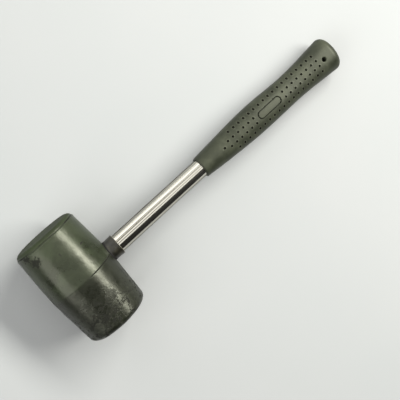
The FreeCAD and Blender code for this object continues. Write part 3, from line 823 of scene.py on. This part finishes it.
def makeGrip(material):
    rings = gripStations()
    count = grip["around"]
    bm = bmesh.new()
    bmesh.ops.create_grid(bm, x_segments=len(rings) - 1, y_segments=count, size=1.0)
    mesh = bpy.data.meshes.new("gripSleeve")
    bm.to_mesh(mesh)
    bm.free()
    flat = np.zeros(len(mesh.vertices) * 3)
    mesh.vertices.foreach_get("co", flat)
    flat = flat.reshape(-1, 3)
    column = np.rint((flat[:, 0] + 1) / 2 * (len(rings) - 1)).astype(int)
    share = np.rint((flat[:, 1] + 1) / 2 * count) / count
    # closer together above and below
    turn = 2 * math.pi * share + 0.2 * np.sin(4 * math.pi * share)
    place, wide, deep, shift = rings[column].T
    x = place.copy()
    y = shift + wide * np.cos(turn)
    z = deep * np.sin(turn)
    firstOuter = int(np.flatnonzero(rings[:, 0] == rings[:, 0].min())[-1]) + 8
    outer = (column > firstOuter) & (place < grip["pressEnd"])
    upper = z > 0
    top = outer & (np.abs(z) > 2)
    y0 = y.copy()
    depth, rim, pit = pressDimples(x, y, top, upper)
    groove, lined = pressPanel(x, y, top)
    moved = top & ((np.abs(x - place) > 1e-9) | (np.abs(y - y0) > 1e-9))
    ratio = np.clip((y - gripSet(x)) / gripWidth(x), -0.999, 0.999)
    level = gripDepth(x) * np.sqrt(1 - ratio ** 2)
    z = np.where(moved, np.sign(z) * level, z)
    sunk = depth + groove
    z = z - np.sign(z) * np.where(top, sunk, 0)
    mesh.vertices.foreach_set("co", np.stack((x, y, z), 1).ravel())
    # rims take the wear and a painted highlight; pits and the panel's groove take painted shade
    for name, values in (("rimWearAndHighlight", rim), ("pitShade", np.maximum(pit, lined * 0.8))):
        layer = mesh.attributes.new(name, "FLOAT", "POINT")
        layer.data.foreach_set("value", values.astype(np.float32))
    bm = bmesh.new()
    bm.from_mesh(mesh)
    bpy.data.meshes.remove(mesh)
    bmesh.ops.remove_doubles(bm, verts=bm.verts, dist=0.004)

    def height(co):
        ratio = (co.y - float(gripSet(co.x))) / float(gripWidth(co.x))
        return float(gripDepth(co.x)) * math.sqrt(max(1 - ratio ** 2, 0.01))

    spotX, spotY, radius = grip["hang"]
    down = [(radius + 0.55, None, 0.02), (radius + 0.3, None, 0.1), (radius + 0.1, None, 0.27),
            (radius, None, 0.6), (radius, None, 6.0)]
    openRound(bm, (spotX, spotY), 2, 1, radius + 0.9, down, height)
    openRound(bm, (spotX, spotY), 2, -1, radius + 0.9, down, height)
    bmesh.ops.bridge_loops(bm, edges=[e for e in bm.edges if e.is_boundary])
    piece = finishPiece("gripSleeve", bm, material, 60)
    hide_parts("grip")


# Moulded rubber of the grip: a drier, greyer compound than the head's, which gives the eye a broad
# dull sheen, dimples darkened with painted shade, and paler rims, partly hand wear and partly a
# painted highlight.
gripRubber = {
    "dark": "#1d2018",
    "body": "#262920",
    "light": "#33362b",
    # rim colour: wear and a painted highlight
    "worn": "#55574a",
    # painted shade in the dimples and the panel's groove
    "pit": "#050504",
    "wearAndHighlight": 0.4,
    "pitShade": 0.95,
    "roughness": (0.40, 0.52),
    "dullPit": 0.9,
    "mottle": 14.0,
    "grain": 0.6,  # mm, drawn coarser than the real texture so that it shows
    "grainDepth": 0.010,
    "ior": 1.38,
    "sheen": "#fbffec",
}


def makeGripRubber():
    material, tree, shader, spot = newMaterial("mouldedGripRubber")
    cloud = addNode(tree, "TexNoise", {"Vector": spot, "Scale": 1 / gripRubber["mottle"],
                                       "Detail": 6, "Roughness": 0.62})
    tone = addNode(tree, "ValToRGB", {"Fac": cloud.outputs["Fac"]},
                   stops=[(0.34, gripRubber["dark"]), (0.50, gripRubber["body"]),
                          (0.68, gripRubber["light"])])
    # paler rims: wear and a painted highlight
    rim = addNode(tree, "Attribute", attribute_name="rimWearAndHighlight")
    wearAndHighlight = addNode(tree, "Math", {0: rim.outputs["Fac"], 1: gripRubber["wearAndHighlight"]},
                   operation="MULTIPLY")
    worn = addNode(tree, "Mix", {"Factor": wearAndHighlight.outputs[0], "A": tone.outputs["Color"],
                                 "B": linear(gripRubber["worn"])}, data_type="RGBA")
    # painted shade in the dimples and the panel's groove
    pit = addNode(tree, "Attribute", attribute_name="pitShade")
    shade = addNode(tree, "Math", {0: pit.outputs["Fac"], 1: gripRubber["pitShade"]},
                    operation="MULTIPLY")
    pitted = addNode(tree, "Mix", {"Factor": shade.outputs[0], "A": worn.outputs["Result"],
                                   "B": linear(gripRubber["pit"])}, data_type="RGBA")
    tree.links.new(pitted.outputs["Result"], shader.inputs["Base Color"])
    dull = addNode(tree, "MapRange", {"Value": cloud.outputs["Fac"], "From Min": 0.3,
                                      "From Max": 0.7, "To Min": gripRubber["roughness"][0],
                                      "To Max": gripRubber["roughness"][1]})
    deeper = addNode(tree, "Mix", {"Factor": pit.outputs["Fac"], "A": dull.outputs["Result"],
                                   "B": gripRubber["dullPit"]}, data_type="FLOAT")
    tree.links.new(deeper.outputs["Result"], shader.inputs["Roughness"])
    grain = addNode(tree, "TexNoise", {"Vector": spot, "Scale": 1 / gripRubber["grain"],
                                       "Detail": 3})
    bump = addNode(tree, "Bump", {"Height": grain.outputs["Fac"],
                                  "Distance": gripRubber["grainDepth"] / 1000})
    tree.links.new(bump.outputs["Normal"], shader.inputs["Normal"])
    shader.inputs["IOR"].default_value = gripRubber["ior"]
    shader.inputs["Specular Tint"].default_value = linear(gripRubber["sheen"])
    return material


makeGrip(makeGripRubber())


# The expander cone, turned steel with a film of oil, and the butt plug, dark moulded plastic, keep
# their CAD shapes, closed inside the tube, so nothing of them reaches the eye.
hidden = {
    # material, colour, its darker patches, metal, roughness, and grain in mm
    "flare_cone": ("turnedOiledSteel", "#8b8880", "#1c1b19", 1.0, 0.34, 0.4),
    "butt_plug": ("mouldedPlugPlastic", "#2c2c2a", "#1c1b19", 0.0, 0.5, 0.8),
}


def dressHidden():
    for node, (name, colour, darker, metal, rough, grainSize) in hidden.items():
        material, tree, shader, spot = newMaterial(name)
        marks = addNode(tree, "TexNoise", {"Vector": spot, "Scale": 1 / grainSize, "Detail": 4})
        tone = addNode(tree, "Mix", {"Factor": marks.outputs["Fac"], "A": linear(colour),
                                     "B": linear(darker)}, data_type="RGBA")
        tree.links.new(tone.outputs["Result"], shader.inputs["Base Color"])
        dull = addNode(tree, "MapRange", {"Value": marks.outputs["Fac"], "To Min": rough - 0.08,
                                          "To Max": rough + 0.08})
        tree.links.new(dull.outputs["Result"], shader.inputs["Roughness"])
        shader.inputs["Metallic"].default_value = metal
        slots = frame["nodes"][node].data.materials
        slots.clear()
        slots.append(material)
    print("hidden pieces dressed")


dressHidden()


# Stage: soft studio lights, and a pale matt floor that gives the eye a soft shadow.
stage = {
    "floor": "#9a9c9e",
    "floorShade": "#979a9c",
    "floorRoughness": 0.85,
    "cloud": 180.0,  # mm
    "size": 5.0,
    "lights": (
        # name, place, aim, size along and up, power in watts, colour
        ("keySoftbox", (0.95, 0.0, 0.95), (0, 0, 0.02), (1.4, 0.30), 45, "#fffdf4"),
        ("topSoftbox", (0.0, 0.2, 1.45), (0, 0.2, 0), (1.6, 1.4), 8.0, "#fffefa"),
        ("sideSoftbox", (0.0, 1.35, 0.75), (0, 0, 0.05), (2.2, 1.4), 17, "#fffefa"),
        ("backFill", (-1.1, 0.1, 0.8), (0, 0, 0.02), (1.2, 0.9), 13, "#fffef8"),
    ),
    "air": "#f2f1ee",
    "airStrength": 0.05,
}


def makeStage():
    material, tree, shader, spot = newMaterial("matteFloorCard")
    cloud = addNode(tree, "TexNoise", {"Vector": spot, "Scale": 1 / stage["cloud"], "Detail": 3})
    tone = addNode(tree, "ValToRGB", {"Fac": cloud.outputs["Fac"]},
                   stops=[(0.3, stage["floorShade"]), (0.7, stage["floor"])])
    tree.links.new(tone.outputs["Color"], shader.inputs["Base Color"])
    shader.inputs["Roughness"].default_value = stage["floorRoughness"]
    bm = bmesh.new()
    bmesh.ops.create_grid(bm, x_segments=8, y_segments=8, size=stage["size"])
    mesh = bpy.data.meshes.new("floor")
    bm.to_mesh(mesh)
    bm.free()
    floor = bpy.data.objects.new("floor", mesh)
    bpy.context.scene.collection.objects.link(floor)
    mesh.materials.append(material)
    for name, place, aim, (along, up), power, colour in stage["lights"]:
        lamp = bpy.data.lights.new(name, "AREA")
        lamp.shape = "RECTANGLE"
        lamp.size, lamp.size_y = along, up
        lamp.energy = power
        lamp.color = linear(colour)[:3]
        box = bpy.data.objects.new(name, lamp)
        bpy.context.scene.collection.objects.link(box)
        box.location = place
        box.rotation_euler = (Vector(aim) - Vector(place)).to_track_quat("-Z", "Y").to_euler()
        box.visible_camera = False
    world = bpy.data.worlds.new("studio")
    bpy.context.scene.world = world
    world.use_nodes = True
    air = world.node_tree.nodes["Background"]
    air.inputs["Color"].default_value = linear(stage["air"])
    air.inputs["Strength"].default_value = stage["airStrength"]
    print("stage lit")


makeStage()
